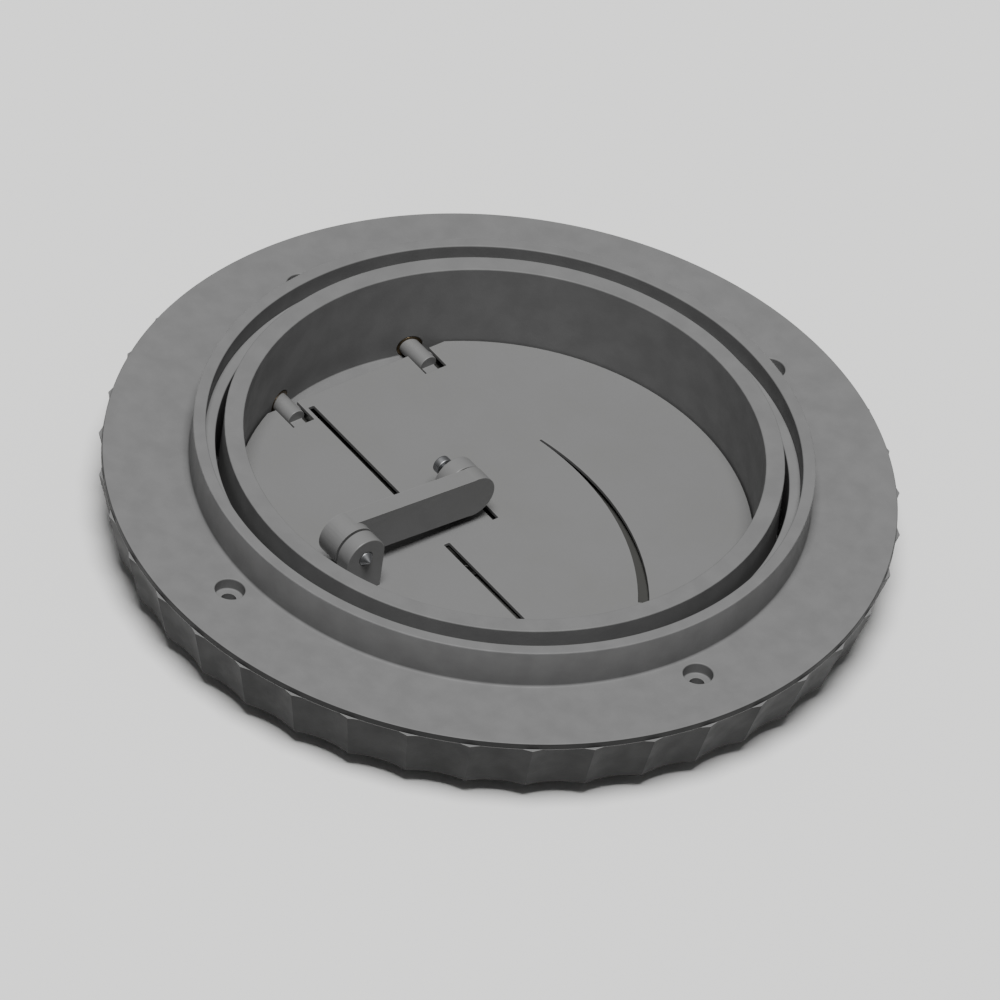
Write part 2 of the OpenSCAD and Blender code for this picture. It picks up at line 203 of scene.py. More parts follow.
def opaque(colour):
    """A colour with full alpha, as node sockets take it."""
    return (*colour, 1)


def new_material(name, constants):
    """A material with one Principled shader, its constant sockets set."""
    material = bpy.data.materials.new(name)
    material.use_nodes = True
    tree = material.node_tree
    tree.nodes.clear()
    shader = add_node(tree, "ShaderNodeBsdfPrincipled", constants)
    surface = {"Surface": shader.outputs["BSDF"]}
    add_node(tree, "ShaderNodeOutputMaterial", surface)
    return material, tree, shader


def noise(tree, size, detail=2.0, roughness=0.5):
    """A noise pattern whose blotches are about size metres across."""
    place = add_node(tree, "ShaderNodeTexCoord").outputs["Object"]
    settings = {"Vector": place, "Scale": 1 / size, "Detail": detail, "Roughness": roughness}
    return add_node(tree, "ShaderNodeTexNoise", settings).outputs["Fac"]


def ramp(tree, factor, low, high):
    """A share that climbs from 0 at low to 1 at high."""
    inputs = {"Value": factor, "From Min": low, "From Max": high}
    return add_node(tree, "ShaderNodeMapRange", inputs).outputs["Result"]


def mixed(tree, factor, first, second):
    """A colour between two, by a share."""
    node = add_node(tree, "ShaderNodeMix", {0: factor}, data_type="RGBA")
    for index, value in ((6, first), (7, second)):
        if isinstance(value, bpy.types.NodeSocket):
            tree.links.new(value, node.inputs[index])
        else:
            node.inputs[index].default_value = opaque(value)
    return node.outputs[2]


def worn_edges(tree):
    """A share that is 1 within 1 mm of an edge, where a coat is rubbed thin.

    There the normal that is averaged over the edge leaves the face's own normal.
    """
    average = add_node(tree, "ShaderNodeBevel", {"Radius": 1 * MM}, samples=4)
    own = add_node(tree, "ShaderNodeNewGeometry").outputs["Normal"]
    both = {0: average.outputs["Normal"], 1: own}
    likeness = add_node(tree, "ShaderNodeVectorMath", both, operation="DOT_PRODUCT")
    return ramp(tree, likeness.outputs["Value"], 0.99, 0.9)


def bump(tree, height, distance, strength, before=None):
    """A bump that rises distance metres, on top of an earlier bump."""
    inputs = {"Height": height, "Distance": distance, "Strength": strength}
    if before is not None:
        inputs["Normal"] = before
    return add_node(tree, "ShaderNodeBump", inputs).outputs["Normal"]


def place_parts(tree):
    """The object's own x and z, and its distance from the upright axis."""
    place = add_node(tree, "ShaderNodeTexCoord").outputs["Object"]
    parts = add_node(tree, "ShaderNodeSeparateXYZ", {"Vector": place}).outputs
    flat = {0: place, 1: (1, 1, 0)}
    across = add_node(tree, "ShaderNodeVectorMath", flat, operation="MULTIPLY").outputs["Vector"]
    distance = add_node(tree, "ShaderNodeVectorMath", {0: across}, operation="LENGTH")
    return parts["X"], parts["Z"], distance.outputs["Value"]


def product(tree, first, second):
    """Two shares multiplied."""
    inputs = {0: first, 1: second}
    return add_node(tree, "ShaderNodeMath", inputs, operation="MULTIPLY").outputs["Value"]


def dipped_iron(colours):
    """Ductile iron, sand cast and dip coated: a low satin skin over the sand's grain.

    The upright faces of the rim and skirt are painted near black, as painted shade where they
    turn away from the high light. The pan under the deck plate is painted dark, as painted shade.
    Elsewhere the coat is grey.
    """
    # The sand's own grain is 0.3 mm. It is drawn 3 mm across, so that it shows.
    material, tree, shader = new_material(
        "dip_coated_ductile_iron", {"IOR": 1.45, "Specular IOR Level": 0.25}
    )
    pooled = ramp(tree, noise(tree, 30 * MM, 4), 0.35, 0.65)
    grain = noise(tree, 3 * MM, 3, 0.6)
    coat = mixed(tree, pooled, colours.iron_dark, colours.iron)
    speckled = mixed(tree, ramp(tree, grain, 0.62, 0.8), coat, colours.iron_dark)
    worn = mixed(tree, worn_edges(tree), speckled, colours.iron_worn)
    x, height, distance = place_parts(tree)
    normal = add_node(tree, "ShaderNodeNewGeometry").outputs["Normal"]
    facing_up = add_node(tree, "ShaderNodeSeparateXYZ", {"Vector": normal}).outputs["Z"]
    # Painted shade: outside the neck, faces that do not face up are painted near black, which
    # darkens the skirt's sides
    shade_radius = MOUNTS["neck_collar"]["r_mm"] * MM + 50 * MM
    outside = ramp(tree, distance, shade_radius, shade_radius + MM)
    skirt = product(tree, outside, ramp(tree, facing_up, 0.9, 0.6))
    side_shaded = mixed(tree, skirt, worn, colours.dip)
    # Painted shade: the pan below the deck plate's underside, inside its edge, is painted dark
    low, high = box("deck_plate")
    below = ramp(tree, height, low[2], low[2] - MM)
    beside = ramp(tree, x, low[0], low[0] + MM)
    within = ramp(tree, distance, high[1] + 3 * MM, high[1] + 2 * MM)
    deck_shade_mask = product(tree, product(tree, below, beside), within)
    colour = mixed(tree, deck_shade_mask, side_shaded, colours.deck_shade)
    tree.links.new(colour, shader.inputs["Base Color"])
    gloss = add_node(tree, "ShaderNodeMapRange", {"Value": pooled, "To Min": 0.62, "To Max": 0.5})
    tree.links.new(gloss.outputs["Result"], shader.inputs["Roughness"])
    waves = bump(tree, noise(tree, 22 * MM, 2), 0.3 * MM, 0.3)
    sand = bump(tree, grain, 0.3 * MM, 0.4, waves)
    tree.links.new(sand, shader.inputs["Normal"])
    return material


def painted_steel(colours, name, grain_size, grain_height):
    """Grey paint on steel: an even satin film, dusty in patches and rubbed on its edges."""
    material, tree, shader = new_material(name, {"IOR": 1.5})
    dusty = ramp(tree, noise(tree, 90 * MM, 5, 0.6), 0.4, 0.75)
    film = mixed(tree, dusty, colours.paint, colours.paint_dark)
    colour = mixed(tree, worn_edges(tree), film, colours.paint_worn)
    tree.links.new(colour, shader.inputs["Base Color"])
    gloss = add_node(tree, "ShaderNodeMapRange", {"Value": dusty, "To Min": 0.38, "To Max": 0.5})
    tree.links.new(gloss.outputs["Result"], shader.inputs["Roughness"])
    peel = bump(tree, noise(tree, grain_size, 2), grain_height, 0.4)
    tree.links.new(peel, shader.inputs["Normal"])
    return material


def rolled_plate(colours):
    """Rolled plate under paint: the orange peel of a roller, drawn 5 mm across to show."""
    return painted_steel(colours, "painted_rolled_plate", 5 * MM, 0.25 * MM)


def forged_steel(colours):
    """Forged steel under paint: the scale's shallow dimples show through, 8 mm across."""
    return painted_steel(colours, "painted_forged_steel", 8 * MM, 0.5 * MM)


def zinc_plated(colours):
    """Turned steel, zinc plated: a grey metal, dull in patches, painted dark below the deck's top
    as painted shade.
    """
    material, tree, shader = new_material("zinc_plated_steel", {"Metallic": 1.0})
    dull = ramp(tree, noise(tree, 12 * MM, 4), 0.4, 0.65)
    plated = mixed(tree, dull, colours.zinc, colours.zinc_dull)
    # Painted shade: zinc below the deck plate's top is painted dark, where the plate shades it
    level = box("deck_plate")[1][2]
    deck_shade_mask = ramp(tree, place_parts(tree)[1], level + MM, level)
    colour = mixed(tree, deck_shade_mask, plated, colours.deck_shade)
    tree.links.new(colour, shader.inputs["Base Color"])
    gloss = add_node(tree, "ShaderNodeMapRange", {"Value": dull, "To Min": 0.4, "To Max": 0.6})
    tree.links.new(gloss.outputs["Result"], shader.inputs["Roughness"])
    tree.links.new(bump(tree, noise(tree, 1.5 * MM), 0.05 * MM, 0.3), shader.inputs["Normal"])
    return material


def bearing_bronze(colours):
    """Machined bearing bronze: a warm metal, a little dulled by grease."""
    material, tree, shader = new_material("bearing_bronze", {"Metallic": 1.0})
    greasy = ramp(tree, noise(tree, 6 * MM, 3), 0.4, 0.6)
    darker = tuple(0.6 * value for value in colours.bronze)
    tree.links.new(mixed(tree, greasy, colours.bronze, darker), shader.inputs["Base Color"])
    gloss = add_node(tree, "ShaderNodeMapRange", {"Value": greasy, "To Min": 0.28, "To Max": 0.45})
    tree.links.new(gloss.outputs["Result"], shader.inputs["Roughness"])
    return material


def moulded_polyethylene(colours):
    """Grey polyethylene, moulded: waxy and even, with faint flow marks."""
    material, tree, shader = new_material("moulded_polyethylene", {"IOR": 1.51})
    flow = ramp(tree, noise(tree, 40 * MM, 3), 0.3, 0.7)
    lighter = tuple(min(1, 1.12 * value) for value in colours.liner)
    tree.links.new(mixed(tree, flow, colours.liner, lighter), shader.inputs["Base Color"])
    gloss = add_node(tree, "ShaderNodeMapRange", {"Value": flow, "To Min": 0.45, "To Max": 0.55})
    tree.links.new(gloss.outputs["Result"], shader.inputs["Roughness"])
    tree.links.new(bump(tree, noise(tree, 4 * MM), 0.1 * MM, 0.25), shader.inputs["Normal"])
    return material


def moulded_rubber(colours):
    """Black rubber, moulded: deep grey with a dusty bloom and a matt skin."""
    material, tree, shader = new_material("moulded_rubber", {"IOR": 1.52})
    bloom = ramp(tree, noise(tree, 15 * MM, 4), 0.45, 0.75)
    dusty = tuple(2.2 * value for value in colours.rubber)
    tree.links.new(mixed(tree, bloom, colours.rubber, dusty), shader.inputs["Base Color"])
    gloss = add_node(tree, "ShaderNodeMapRange", {"Value": bloom, "To Min": 0.6, "To Max": 0.8})
    tree.links.new(gloss.outputs["Result"], shader.inputs["Roughness"])
    tree.links.new(bump(tree, noise(tree, 1.5 * MM), 0.1 * MM, 0.4), shader.inputs["Normal"])
    return material


def studio_floor(colours):
    """Pale matt studio floor, with a very faint unevenness."""
    material, tree, shader = new_material("studio_floor", {"Roughness": 0.9, "IOR": 1.3})
    patches = noise(tree, 600 * MM, 2)
    darker = tuple(0.97 * value for value in colours.floor)
    tree.links.new(mixed(tree, patches, colours.floor, darker), shader.inputs["Base Color"])
    return material


FINISHES = {
    "cast_iron": dipped_iron,
    "grey_steel": rolled_plate,
    "forged_steel": forged_steel,
    "zinc_steel": zinc_plated,
    "bronze": bearing_bronze,
    "liner": moulded_polyethylene,
    "rubber": moulded_rubber,
    "floor": studio_floor,
}
made_finishes = {}


def finish(slot_name):
    """The material of one of the record's slots, made once."""
    if slot_name not in made_finishes:
        colours = bpy.context.scene.manhole_colours
        made_finishes[slot_name] = FINISHES[slot_name](colours)
    return made_finishes[slot_name]


# ---------------------------------------------------------------- surfaces


def rounded(corners, radii, steps=4):
    """Points round a closed outline whose corners are arcs.

    Each arc touches both of its corner's sides at the radius times the cotangent of
    half the corner's angle, and its points turn evenly between the two touching points.
    """
    corner = np.array(corners, float)
    radius = np.broadcast_to(np.array(radii, float), len(corner))[:, None]
    back = np.roll(corner, 1, axis=0) - corner
    ahead = np.roll(corner, -1, axis=0) - corner
    back /= np.linalg.norm(back, axis=1, keepdims=True)
    ahead /= np.linalg.norm(ahead, axis=1, keepdims=True)
    half = np.arccos(np.clip((back * ahead).sum(1, keepdims=True), -1, 1)) / 2
    middle = (back + ahead) / np.linalg.norm(back + ahead, axis=1, keepdims=True)
    centre = corner + middle * radius / np.sin(half)
    first = corner + back * radius / np.tan(half) - centre
    last = corner + ahead * radius / np.tan(half) - centre
    swing = np.pi - 2 * half
    share = np.linspace(0, 1, steps + 1)[None, :, None]
    turn = swing[:, :, None]
    arc = np.sin((1 - share) * turn) * first[:, None] + np.sin(share * turn) * last[:, None]
    return (centre[:, None] + arc / np.sin(turn)).reshape(-1, 2)


def new_piece(name, slot_name, vertices, faces, body, replaced=()):
    """A mesh object at the origin, with its finish, its body and what it stands for."""
    mesh = bpy.data.meshes.new(name)
    mesh.from_pydata(vertices, [], faces)
    piece = bpy.data.objects.new(name, mesh)
    bpy.context.scene.collection.objects.link(piece)
    return dress(piece, slot_name, body, replaced)


def dress(piece, slot_name, body, replaced):
    """Gives a piece its finish and smooth shading, and puts it on its body."""
    piece.data.materials.clear()
    piece.data.materials.append(finish(slot_name))
    shade(piece)
    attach(piece, body)
    if replaced:
        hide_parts(*replaced)
    return piece


def shade(piece):
    """Shades a piece smooth, with its large faces flat and its sharp edges kept."""
    piece.data.shade_smooth()
    piece.data.set_sharp_from_angle(angle=SHARP_ANGLE)
    weigh = piece.modifiers.new("flat faces", "WEIGHTED_NORMAL")
    weigh.keep_sharp = True


def grid_faces(rows, columns, rows_closed):
    """The quads of a grid whose columns close, and whose rows may close too."""
    row = np.arange(rows if rows_closed else rows - 1)[:, None]
    column = np.arange(columns)[None, :]
    next_row = (row + 1) % rows
    next_column = (column + 1) % columns
    quads = np.stack(
        [
            row * columns + column,
            row * columns + next_column,
            next_row * columns + next_column,
            next_row * columns + column,
        ],
        axis=-1,
    )
    return quads.reshape(-1, 4)


def turned(radius, height, columns, centre=(0, 0, 0), along="Z", ends=False):
    """The surface that a section makes when it is turned round an axis.

    A point of the section at radius r and height h goes to r cos t, r sin t, h, where t
    runs once round. Radius may have a column for each t. With ends, two flat discs close
    the first and last rows. Along X, the point goes to h, r cos t, r sin t.
    """
    angle = np.arange(columns) * TURN / columns
    radius = np.asarray(radius, float)
    radius = radius if radius.ndim == 2 else np.repeat(radius[:, None], columns, 1)
    level = np.repeat(np.asarray(height, float)[:, None], columns, 1)
    across = [radius * np.cos(angle), radius * np.sin(angle)]
    axes = [*across, level] if along == "Z" else [level, *across]
    vertices = np.stack(axes, axis=-1).reshape(-1, 3) + np.array(centre)
    rows = len(level)
    faces = grid_faces(rows, columns, not ends).tolist()
    if ends:
        faces.append(list(range(columns))[::-1])
        faces.append(list(range((rows - 1) * columns, rows * columns)))
    return vertices, faces


def turned_piece(name, slot_name, body, replaced, section):
    """A ring whose closed section is given as radius and height, counter-clockwise."""
    vertices, faces = turned(section[:, 0], section[:, 1], RING_COLUMNS)
    return new_piece(name, slot_name, vertices, faces, body, replaced)


def ring_section(inner, outer, low, high, edge):
    """A rectangle with rounded corners, as a section of a ring."""
    return rounded([[inner, low], [outer, low], [outer, high], [inner, high]], edge)


def rod_section(radius, low, high, edge, steps=4):
    """The half section of a rod: its end's edge, a rounded corner, its side, and back."""
    bend = np.linspace(0, np.pi / 2, steps + 1)
    rim = radius - edge + edge * np.sin(bend)
    first = low + edge - edge * np.cos(bend)
    last = high - edge + edge * np.cos(bend)
    return np.concatenate([rim, rim[::-1]]), np.concatenate([first, last[::-1]])


def rod_piece(name, slot_name, body, node, edge):
    """A round rod along X that fills a CAD node's box, with rounded ends."""
    low, high = box(node)
    centre = (0, *(low + high)[1:] / 2)
    radius, height = rod_section((high - low)[1] / 2, low[0], high[0], edge)
    vertices, faces = turned(radius, height, HOLE_COLUMNS, centre, "X", ends=True)
    return new_piece(name, slot_name, vertices, faces, body, [node])


def cut(piece, cutters, operation="DIFFERENCE"):
    """Cuts the shapes of some meshes out of a piece, or joins them to it."""
    tool = bpy.data.meshes.new("cutter")
    shape = bmesh.new()
    for vertices, faces in cutters:
        part = bpy.data.meshes.new("part")
        part.from_pydata(vertices, [], faces)
        shape.from_mesh(part)
        bpy.data.meshes.remove(part)
    shape.to_mesh(tool)
    shape.free()
    helper = bpy.data.objects.new("cutter", tool)
    bpy.context.scene.collection.objects.link(helper)
    piece.modifiers.clear()
    boolean = piece.modifiers.new("cut", "BOOLEAN")
    boolean.operation = operation
    boolean.solver = "MANIFOLD"
    boolean.object = helper
    apply_modifiers(piece)
    shade(piece)
    bpy.data.objects.remove(helper)
    bpy.data.meshes.remove(tool)


def apply_modifiers(piece):
    """Puts what a piece's modifiers make into its mesh, and removes them."""
    graph = bpy.context.evaluated_depsgraph_get()
    made = bpy.data.meshes.new_from_object(piece.evaluated_get(graph))
    piece.modifiers.clear()
    piece.data = made


def finished_copy(name, slot_name, body, node, edge, segments=3, clamp=False):
    """A CAD node's shape with its edges rounded.

    The copy's points within 0.02 mm are merged and its flat faces are joined, and then
    each edge sharper than 35 degrees becomes an arc of the given width. With clamp, the
    width shrinks until no two arcs meet.
    """
    mesh = frame["nodes"][node].data.copy()
    shape = bmesh.new()
    shape.from_mesh(mesh)
    bmesh.ops.remove_doubles(shape, verts=shape.verts, dist=MERGE_DISTANCE)
    bmesh.ops.dissolve_limit(
        shape, angle_limit=LEVEL_ANGLE, verts=shape.verts, edges=shape.edges
    )
    shape.to_mesh(mesh)
    shape.free()
    mesh.name = name
    piece = bpy.data.objects.new(name, mesh)
    bpy.context.scene.collection.objects.link(piece)
    bevel = piece.modifiers.new("edge", "BEVEL")
    bevel.width = edge
    bevel.segments = segments
    bevel.limit_method = "ANGLE"
    bevel.angle_limit = ROUNDED_ANGLE
    bevel.use_clamp_overlap = clamp
    apply_modifiers(piece)
    return dress(piece, slot_name, body, [node])


# ---------------------------------------------------------------- pieces


def flute_radius(sizes, rim_radius, angle):
    """The skirt's radius at an angle.

    Each flute is an arc of a circle centred outside the skirt: with the centre at
    distance d and the circle's radius f, the near side is d cos t minus the root of
    f squared less the square of d sin t.
    """
    outer = rim_radius + sizes.flute_proud
    step = TURN / sizes.flutes
    chord = outer * math.sin(step / 2)
    sag = outer * math.cos(step / 2) - (outer - sizes.flute_depth)
    circle = (chord**2 + sag**2) / (2 * sag)
    centre = outer - sizes.flute_depth + circle
    inside = (angle + step / 2) % step - step / 2
    return centre * np.cos(inside) - np.sqrt(circle**2 - (centre * np.sin(inside)) ** 2)


class MANHOLE_OT_ring_frame(bpy.types.Operator):
    """Cast ring frame: flange, fluted skirt, neck, spigot, ribs and recessed holes"""

    bl_idname = "manhole.ring_frame"
    bl_label = "Ring frame"
    bl_options = {"REGISTER", "UNDO"}

    def execute(self, context):
        """Turns the frame's section, with the flutes, ribs, bosses and holes."""
        sizes = context.scene.manhole_sizes
        low, high = box("ring_frame")
        seat_level = box("centring_liner")[0][2]
        neck = MOUNTS["neck_collar"]["r_mm"] * MM
        inner = neck - sizes.neck_wall
        rim = neck + sizes.flange_width
        skirt = rim + sizes.flute_proud - sizes.flute_depth / 2
        behind = rim - sizes.skirt_wall
        taper = sizes.skirt_taper
        edge, fillet = sizes.cast_edge, sizes.cast_fillet
        register = MOUNTS["spigot"]["r_mm"] * MM
        # Each corner: radius, height, rounding, and 1 where the flutes shift it.
        corners = np.array(
            [
                (inner - sizes.seat_width, low[2], edge, 0),
                (register, low[2], edge, 0),
                (register, -sizes.skirt_depth, LATHE_CORNER, 0),
                (neck, -sizes.skirt_depth, LATHE_CORNER, 0),
                (neck, -sizes.flange_thickness, fillet, 0),
                (behind, -sizes.flange_thickness, fillet, 0),
                (behind - taper, -sizes.skirt_depth, edge, 0),
                (skirt - taper, -sizes.skirt_depth, edge, 1),
                (skirt, -sizes.rim_height, LATHE_CORNER, 1),
                (rim, -sizes.rim_height, LATHE_CORNER, 0),
                (rim, 0, edge, 0),
                (neck, 0, fillet, 0),
                (neck, high[2], edge, 0),
                (inner, high[2], edge, 0),
                (inner, seat_level, sizes.seat_corner, 0),
                (inner - sizes.seat_width, seat_level, edge, 0),
            ]
        )
        section = rounded(corners[:, :2], corners[:, 2])
        fluted = np.repeat(corners[:, 3:], len(section) // len(corners), axis=0)
        columns = FLUTE_COLUMNS * sizes.flutes
        angle = np.arange(columns) * TURN / columns
        radius = section[:, :1] + fluted * (flute_radius(sizes, rim, angle) - skirt)
        vertices, faces = turned(radius, section[:, 1], columns)
        piece = new_piece("ring_casting", "cast_iron", vertices, faces, "frame", ["ring_frame"])
        cut(piece, self.ribs_and_bosses(sizes, neck, behind), "UNION")
        cut(piece, self.holes(sizes) + bolt_pockets(sizes))
        return {"FINISHED"}

    def ribs_and_bosses(self, sizes, neck, behind):
        """Upright ribs between neck and skirt, and a round boss under each hole."""
        shapes = []
        half = sizes.rib_thickness / 2
        top = -sizes.flange_thickness + OVERLAP
        foot = sizes.rib_rise - sizes.skirt_depth
        joined, free = HIDDEN_CORNER, sizes.rib_edge
        outline = rounded(
            [[-half, top], [-half, foot], [half, foot], [half, top]], [joined, free, free, joined]
        )
        lean = sizes.skirt_taper / (sizes.skirt_depth - sizes.rim_height)
        near = 0 * outline[:, 1] + neck - 2 * OVERLAP
        far = behind + 3 * OVERLAP + lean * (outline[:, 1] + sizes.rim_height)
        ends = np.stack([near, far])
        for turn in (np.arange(sizes.ribs) + 0.5) * TURN / sizes.ribs:
            shapes.append(bar(outline, ends, turn))
        boss = sizes.recess_diameter / 2 + sizes.boss_wall
        low = -sizes.flange_thickness - sizes.boss_depth
        radius, height = rod_section(boss, low, top, sizes.rib_edge)
        for centre in hole_centres():
            shapes.append(turned(radius, height, HOLE_COLUMNS, centre, ends=True))
        return shapes

    def holes(self, sizes):
        """Drills with a flared mouth: the recess above, and the bolt's hole through it."""
        hole = MOUNTS["fixing_holes"]["hole_r_mm"] * MM
        recess = sizes.recess_diameter / 2
        bottom = -sizes.flange_thickness - sizes.boss_depth
        floor = -sizes.recess_depth
        bend = np.linspace(0, np.pi / 2, 5)
        mouth = sizes.cast_edge
        radius = np.concatenate(
            [
                [hole + mouth],
                hole + mouth - mouth * np.sin(bend),
                [hole, recess - mouth],
                recess - mouth + mouth * np.sin(bend[1:]),
                recess + mouth - mouth * np.cos(bend),
                [recess + mouth],
            ]
        )
        height = np.concatenate(
            [
                [bottom - OVERLAP],
                bottom + mouth - mouth * np.cos(bend),
                [floor, floor],
                floor + mouth - mouth * np.cos(bend[1:]),
                -mouth + mouth * np.sin(bend),
                [OVERLAP],
            ]
        )
        return [
            turned(radius, height, HOLE_COLUMNS, centre, ends=True) for centre in hole_centres()
        ]


def hole_centres():
    """The fixing holes' centres, evenly round their circle from +X."""
    hole = MOUNTS["fixing_holes"]
    turns = np.arange(hole["count"]) * TURN / hole["count"]
    circle = hole["pcd_mm"] * MM / 2
    return np.stack([circle * np.cos(turns), circle * np.sin(turns), 0 * turns], axis=1)


def bolt_pockets(sizes):
    """The blind pockets that take the lock bolts, as cutters along X."""
    pockets = []
    for node in ("lock_bolt_left", "lock_bolt_right"):
        low, high = box(node)
        middle = (0, (low[1] + high[1]) / 2, high[2] - (high[1] - low[1]) / 2)
        pocket = (high[1] - low[1]) / 2 + sizes.pocket_gap
        ends = (-sizes.pocket_reach, -sizes.pocket_mouth)
        radius, height = rod_section(pocket, *ends, LATHE_CORNER)
        pockets.append(turned(radius, height, POCKET_COLUMNS, middle, "X", ends=True))
    return pockets


def bar(outline, ends, turn):
    """A closed outline across and up, carried from one radius to another, turned round Z.

    Ends holds the near and the far radius of each of the outline's points.
    """
    across, up = outline.T
    along = np.asarray(ends).reshape(-1)
    side = np.tile(across, 2)
    cosine, sine = math.cos(turn), math.sin(turn)
    vertices = np.stack(
        [along * cosine - side * sine, along * sine + side * cosine, np.tile(up, 2)], axis=1
    )
    count = len(outline)
    faces = grid_faces(2, count, False).tolist()
    faces.append(list(range(count))[::-1])
    faces.append(list(range(count, 2 * count)))
    return vertices, faces


class MANHOLE_OT_liner(bpy.types.Operator):
    """Centring liner and the flat seal on the seat"""

    bl_idname = "manhole.liner"
    bl_label = "Liner and seal"
    bl_options = {"REGISTER", "UNDO"}

    def execute(self, context):
        """Turns the liner and the seal, and cuts the liner's pockets."""
        sizes = context.scene.manhole_sizes
        low, high = box("centring_liner")
        pan = box("pan")[1][0]
        inner = pan + sizes.pan_gap
        section = ring_section(inner, high[0], low[2], high[2], sizes.cast_edge)
        liner = turned_piece("liner_ring", "liner", "frame", ["centring_liner"], section)
        cut(liner, bolt_pockets(sizes))
        low, high = box("seat_seal")
        seat = MOUNTS["neck_collar"]["r_mm"] * MM - sizes.neck_wall - sizes.seat_width
        bore = seat + sizes.seal_inset
        section = ring_section(bore, high[0], low[2], high[2], sizes.seal_edge)
        turned_piece("seal_ring", "rubber", "frame", ["seat_seal"], section)
        return {"FINISHED"}


class MANHOLE_OT_pan(bpy.types.Operator):
    """Cast lift-out pan with its deck pads"""

    bl_idname = "manhole.pan"
    bl_label = "Pan"
    bl_options = {"REGISTER", "UNDO"}

    def execute(self, context):
        """Rounds the pan's edges, with its bores and pads as cast."""
        sizes = context.scene.manhole_sizes
        finished_copy("pan_casting", "cast_iron", "pan", "pan", sizes.cast_edge)
        finished_copy("drain_bung", "zinc_steel", "pan", "drain_plug", sizes.turned_edge)
        return {"FINISHED"}


class MANHOLE_OT_deck(bpy.types.Operator):
    """Sloping deck plate and what fastens it"""

    bl_idname = "manhole.deck"
    bl_label = "Deck plate"
    bl_options = {"REGISTER", "UNDO"}

    def execute(self, context):
        """Rounds the plate's edges and slots, and the studs, nuts and washers."""
        sizes = context.scene.manhole_sizes
        finished_copy("deck", "grey_steel", "pan", "deck_plate", sizes.plate_edge)
        fasteners = {
            "studs": "deck_studs",
            "nuts": "deck_nuts",
            "washers": "deck_washers",
            "ear_bolts": "ear_screws",
        }
        for name, node in fasteners.items():
            finished_copy(name, "zinc_steel", "pan", node, sizes.small_edge, 2)
        return {"FINISHED"}


class MANHOLE_OT_ears(bpy.types.Operator):
    """The two ears that carry the lifting arm, and its buffer"""

    bl_idname = "manhole.ears"
    bl_label = "Ears"
    bl_options = {"REGISTER", "UNDO"}

    def execute(self, context):
        """Rounds the forged ears and the buffer."""
        sizes = context.scene.manhole_sizes
        finished_copy("pivot_ear", "forged_steel", "pan", "hinge_ear", sizes.forged_edge)
        finished_copy("catch_ear", "forged_steel", "pan", "keeper_ear", sizes.forged_edge)
        finished_copy("buffer", "rubber", "pan", "arm_buffer", sizes.turned_edge)
        return {"FINISHED"}


class MANHOLE_OT_pivot(bpy.types.Operator):
    """Pivot pin with its washers and clip"""

    bl_idname = "manhole.pivot"
    bl_label = "Pivot"
    bl_options = {"REGISTER", "UNDO"}

    def execute(self, context):
        """Rounds the pin's edges and the small rings."""
        sizes = context.scene.manhole_sizes
        finished_copy("pivot", "zinc_steel", "pan", "pivot_pin", sizes.pivot_edge)
        finished_copy("front_washer", "bronze", "pan", "thrust_washer", sizes.washer_edge)
        finished_copy("rear_washer", "zinc_steel", "pan", "back_washer", sizes.washer_edge)
        finished_copy("clip", "zinc_steel", "pan", "pivot_clip", sizes.clip_edge)
        return {"FINISHED"}


class MANHOLE_OT_arm(bpy.types.Operator):
    """Lifting arm and the bush in its hub"""

    bl_idname = "manhole.arm"
    bl_label = "Lifting arm"
    bl_options = {"REGISTER", "UNDO"}

    def execute(self, context):
        """Rounds the forged arm and its bush."""
        sizes = context.scene.manhole_sizes
        finished_copy("arm", "forged_steel", "lift_arm", "lift_arm", sizes.arm_edge, clamp=True)
        finished_copy("hub_bush", "bronze", "lift_arm", "arm_bush", sizes.small_edge)
        return {"FINISHED"}


class MANHOLE_OT_keeper(bpy.types.Operator):
    """Keeper pin and its knob"""

    bl_idname = "manhole.keeper"
    bl_label = "Keeper"
    bl_options = {"REGISTER", "UNDO"}

    def execute(self, context):
        """Turns the pin and rounds the knob."""
        sizes = context.scene.manhole_sizes
        rod_piece("catch_pin", "zinc_steel", "keeper_pin", "keeper_pin", sizes.turned_edge)
        finished_copy("knob", "zinc_steel", "keeper_pin", "keeper_knob", sizes.knob_edge)
        return {"FINISHED"}


class MANHOLE_OT_locks(bpy.types.Operator):
    """Lock bolts, their bar, screws, stud and bushes"""

    bl_idname = "manhole.locks"
    bl_label = "Lock bolts"
    bl_options = {"REGISTER", "UNDO"}

    def execute(self, context):
        """Rounds the bolts, the bar and the bushes."""
        sizes = context.scene.manhole_sizes
        for side in ("left", "right"):
            bolt, bush = f"lock_bolt_{side}", f"bolt_bush_{side}"
            finished_copy(f"bolt_{side}", "grey_steel", "lock_bar", bolt, sizes.turned_edge)
            finished_copy(f"bush_{side}", "bronze", "pan", bush, sizes.small_edge)
        finished_copy("bar", "zinc_steel", "lock_bar", "lock_bar", sizes.plate_edge)
        finished_copy("screws", "zinc_steel", "lock_bar", "bolt_screws", sizes.small_edge)
        finished_copy("stud", "zinc_steel", "lock_bar", "guide_stud", sizes.small_edge)
        return {"FINISHED"}


# ---------------------------------------------------------------- stage and camera

AZIMUTH = math.radians(48.5)
ELEVATION = math.radians(41.03)
ROLL = math.radians(7.93)
VIEW_WIDTH = 1.142
TARGET_DROP = 24.38 * MM
CAMERA_DISTANCE = 3
CAMERA_REACH = 20
FLOOR_REACH = 12
SUN_TILT = math.radians(76)
SUN_ANGLE = math.radians(26)
SUN_STRENGTH = 4.75
SKY_STRENGTH = 0.15


def towards(azimuth, tilt):
    """The unit vector towards something at an azimuth from -Y to +X and a height angle."""
    level = math.cos(tilt)
    return Vector((math.sin(azimuth) * level, -math.cos(azimuth) * level, math.sin(tilt)))


